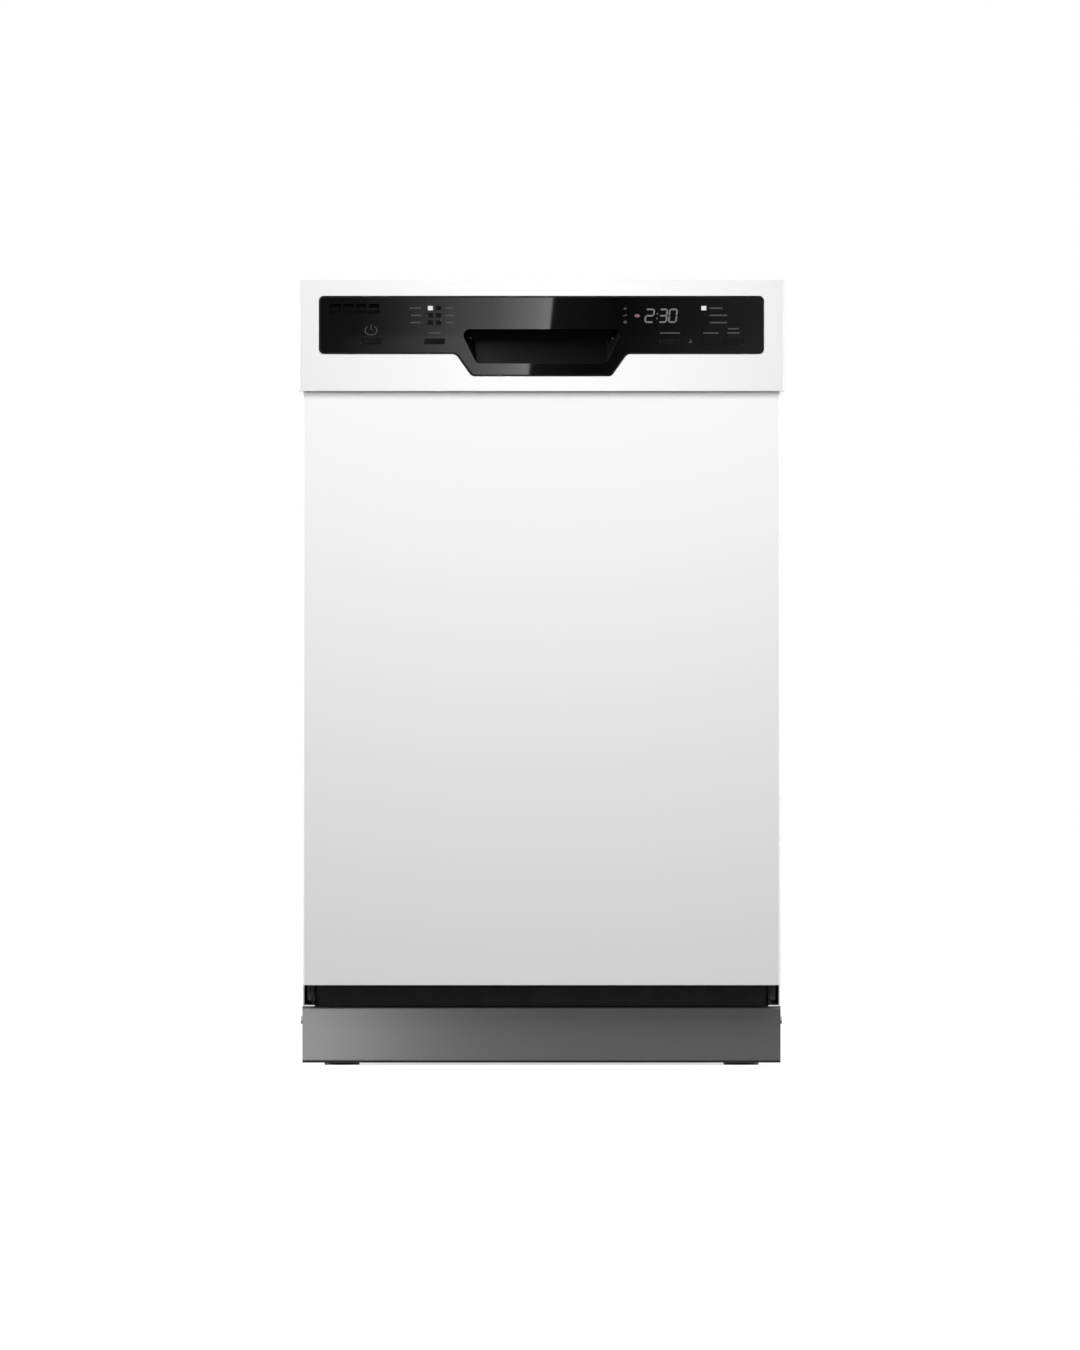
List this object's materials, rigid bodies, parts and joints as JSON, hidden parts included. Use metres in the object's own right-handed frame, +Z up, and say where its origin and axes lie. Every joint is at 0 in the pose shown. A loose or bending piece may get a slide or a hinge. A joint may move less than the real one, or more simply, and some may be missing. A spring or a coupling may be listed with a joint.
{
  "type": "built-in dishwasher",
  "caption": "Built-in dishwasher with a pocket handle in a full-width console, drop-down door, sliding racks, spray arms, telescopic rails, filter, feet and a recessed kick plate.",
  "frame": {"origin": "on the floor, under the middle of the machine's bounding box", "axes": "+Z up, +X to the right of someone facing the door, +Y towards the wall behind, so the door faces -Y"},
  "size_m": [0.498, 0.57, 0.805],
  "materials": {
    "stainless": "satin",
    "zinc_steel": "satin",
    "galvanised_sheet": "satin",
    "white_enamel": "satin gloss",
    "white_plastic": "gloss",
    "black_gloss": "high gloss",
    "display_glass": "high gloss",
    "button_black": "satin",
    "led_lit": "lit lens",
    "led_dark": "gloss",
    "kick_metal": "satin",
    "base_plastic": "matte",
    "rubber": "matte",
    "felt": "felted",
    "grey_plastic": "matte",
    "light_grey_plastic": "satin",
    "blue_plastic": "satin",
    "pump_housing": "matte",
    "clear_plastic": "translucent",
    "rack_coating": "nylon coated wire",
    "circuit_board": "solder mask",
    "foot_plastic": "matte"
  },
  "bodies": {
    "cabinet": {"tub": "stainless", "tub_gasket": "rubber", "base_tray": "base_plastic", "side_panel_left": "galvanised_sheet", "side_panel_right": "galvanised_sheet", "sound_blanket": "felt", "front_top_rail": "zinc_steel", "worktop_brackets": "zinc_steel", "kick_plate": "kick_metal", "kick_plate_screws": "zinc_steel", "sump": "grey_plastic", "wash_pump": "pump_housing", "drain_pump": "light_grey_plastic", "inlet_valve": "light_grey_plastic", "terminal_box": "base_plastic", "water_inlet_chamber": "clear_plastic", "feed_pipe": "grey_plastic", "rail_rollers": "light_grey_plastic", "filter_plate": "stainless", "hinge_brackets": "zinc_steel", "door_springs": "zinc_steel"},
    "door": {"door_outer_panel": "white_enamel", "door_inner_liner": "stainless", "door_insulation": "felt", "console_housing": "white_plastic", "console_fascia": "black_gloss", "handle_pocket": "black_gloss", "display_lens": "display_glass", "control_board": "circuit_board", "led_lenses_lit": "led_lit", "led_lenses_off": "led_dark", "vent_duct": "base_plastic", "hinge_arms": "zinc_steel", "door_bottom_seal": "rubber", "door_screws": "zinc_steel", "dispenser_body": "light_grey_plastic", "latch_body": "base_plastic"},
    "latch_plunger": {"latch_plunger": "white_plastic"},
    "dispenser_lid": {"dispenser_lid": "light_grey_plastic"},
    "rinse_aid_cap": {"rinse_aid_cap": "blue_plastic"},
    "power_button": {"power_button": "button_black"},
    "cycle_button": {"cycle_button": "button_black"},
    "delay_button": {"delay_button": "button_black"},
    "options_button": {"options_button": "button_black"},
    "start_button": {"start_button": "button_black"},
    "rack_rails": {"rack_rails": "zinc_steel"},
    "upper_rack": {"upper_rack": "rack_coating"},
    "upper_spray_arm": {"upper_spray_arm": "stainless"},
    "cup_shelf": {"cup_shelf": "rack_coating"},
    "lower_rack": {"lower_rack": "rack_coating"},
    "wheel_front_left": {"wheel_front_left": "light_grey_plastic"},
    "wheel_front_right": {"wheel_front_right": "light_grey_plastic"},
    "wheel_rear_left": {"wheel_rear_left": "light_grey_plastic"},
    "wheel_rear_right": {"wheel_rear_right": "light_grey_plastic"},
    "cutlery_basket": {"cutlery_basket": "grey_plastic"},
    "lower_spray_arm": {"lower_spray_arm": "stainless"},
    "filter_cylinder": {"filter_cylinder": "grey_plastic"},
    "foot_front_left": {"foot_front_left": "foot_plastic"},
    "foot_front_right": {"foot_front_right": "foot_plastic"},
    "foot_rear": {"foot_rear": "foot_plastic"}
  },
  "joints": [
    {"name": "door_hinge", "type": "hinge", "parent": "cabinet", "child": "door", "pos_m": [0, -0.255, 0.11], "axis": [1, 0, 0], "range_deg": [0, 90], "deforming": ["door_springs"]},
    {"name": "latch_plunger_slide", "type": "slide", "parent": "door", "child": "latch_plunger", "axis": [0, 0, -1], "range_m": [0, 0.004], "stiffness_N_per_m": 600, "springref_m": -0.003},
    {"name": "dispenser_lid_slide", "type": "slide", "parent": "door", "child": "dispenser_lid", "axis": [0, 0, -1], "range_m": [0, 0.07]},
    {"name": "rinse_aid_cap_turn", "type": "hinge", "parent": "door", "child": "rinse_aid_cap", "pos_m": [0.064, -0.222, 0.45], "axis": [0, 1, 0], "range_deg": [0, 90]},
    {"name": "power_button_press", "type": "slide", "parent": "door", "child": "power_button", "axis": [0, 1, 0], "range_m": [0, 0.0012], "stiffness_N_per_m": 900, "springref_m": -0.001},
    {"name": "cycle_button_press", "type": "slide", "parent": "door", "child": "cycle_button", "axis": [0, 1, 0], "range_m": [0, 0.0012], "stiffness_N_per_m": 900, "springref_m": -0.001},
    {"name": "delay_button_press", "type": "slide", "parent": "door", "child": "delay_button", "axis": [0, 1, 0], "range_m": [0, 0.0012], "stiffness_N_per_m": 900, "springref_m": -0.001},
    {"name": "options_button_press", "type": "slide", "parent": "door", "child": "options_button", "axis": [0, 1, 0], "range_m": [0, 0.0012], "stiffness_N_per_m": 900, "springref_m": -0.001},
    {"name": "start_button_press", "type": "slide", "parent": "door", "child": "start_button", "axis": [0, 1, 0], "range_m": [0, 0.0012], "stiffness_N_per_m": 900, "springref_m": -0.001},
    {"name": "rail_slide", "type": "slide", "parent": "cabinet", "child": "rack_rails", "axis": [0, -1, 0], "range_m": [0, 0.21]},
    {"name": "upper_rack_slide", "type": "slide", "parent": "cabinet", "child": "upper_rack", "axis": [0, -1, 0], "range_m": [0, 0.41]},
    {"name": "upper_spray_arm_spin", "type": "hinge", "parent": "upper_rack", "child": "upper_spray_arm", "pos_m": [0, 0.03, 0.446], "axis": [0, 0, 1], "continuous": true},
    {"name": "cup_shelf_fold", "type": "hinge", "parent": "upper_rack", "child": "cup_shelf", "pos_m": [-0.1895, 0, 0.5775], "axis": [0, -1, 0], "range_deg": [0, 80]},
    {"name": "lower_rack_slide", "type": "slide", "parent": "cabinet", "child": "lower_rack", "axis": [0, -1, 0], "range_m": [0, 0.16]},
    {"name": "wheel_front_left_roll", "type": "hinge", "parent": "lower_rack", "child": "wheel_front_left", "pos_m": [-0.204, -0.113, 0.1605], "axis": [1, 0, 0], "continuous": true},
    {"name": "wheel_front_right_roll", "type": "hinge", "parent": "lower_rack", "child": "wheel_front_right", "pos_m": [0.204, -0.113, 0.1605], "axis": [1, 0, 0], "continuous": true},
    {"name": "wheel_rear_left_roll", "type": "hinge", "parent": "lower_rack", "child": "wheel_rear_left", "pos_m": [-0.204, 0.175, 0.1605], "axis": [1, 0, 0], "continuous": true},
    {"name": "wheel_rear_right_roll", "type": "hinge", "parent": "lower_rack", "child": "wheel_rear_right", "pos_m": [0.204, 0.175, 0.1605], "axis": [1, 0, 0], "continuous": true},
    {"name": "cutlery_basket_lift", "type": "slide", "parent": "lower_rack", "child": "cutlery_basket", "axis": [0, 0, 1], "range_m": [0, 0.09]},
    {"name": "lower_spray_arm_spin", "type": "hinge", "parent": "cabinet", "child": "lower_spray_arm", "pos_m": [0, 0.03, 0.163], "axis": [0, 0, 1], "continuous": true},
    {"name": "filter_twist", "type": "hinge", "parent": "cabinet", "child": "filter_cylinder", "pos_m": [0, -0.042, 0.146], "axis": [0, 0, 1], "range_deg": [0, 90]},
    {"name": "foot_front_left_screw", "type": "slide", "parent": "cabinet", "child": "foot_front_left", "axis": [0, 0, -1], "range_m": [0, 0.05]},
    {"name": "foot_front_right_screw", "type": "slide", "parent": "cabinet", "child": "foot_front_right", "axis": [0, 0, -1], "range_m": [0, 0.05]},
    {"name": "foot_rear_screw", "type": "slide", "parent": "cabinet", "child": "foot_rear", "axis": [0, 0, -1], "range_m": [0, 0.05]}
  ],
  "couplings": [
    {"joint": "rail_slide", "follows": "door_hinge", "m_per_rad": 0.13},
    {"joint": "upper_rack_slide", "follows": "door_hinge", "m_per_rad": 0.26},
    {"joint": "lower_rack_slide", "follows": "door_hinge", "m_per_rad": 0.1}
  ]
}
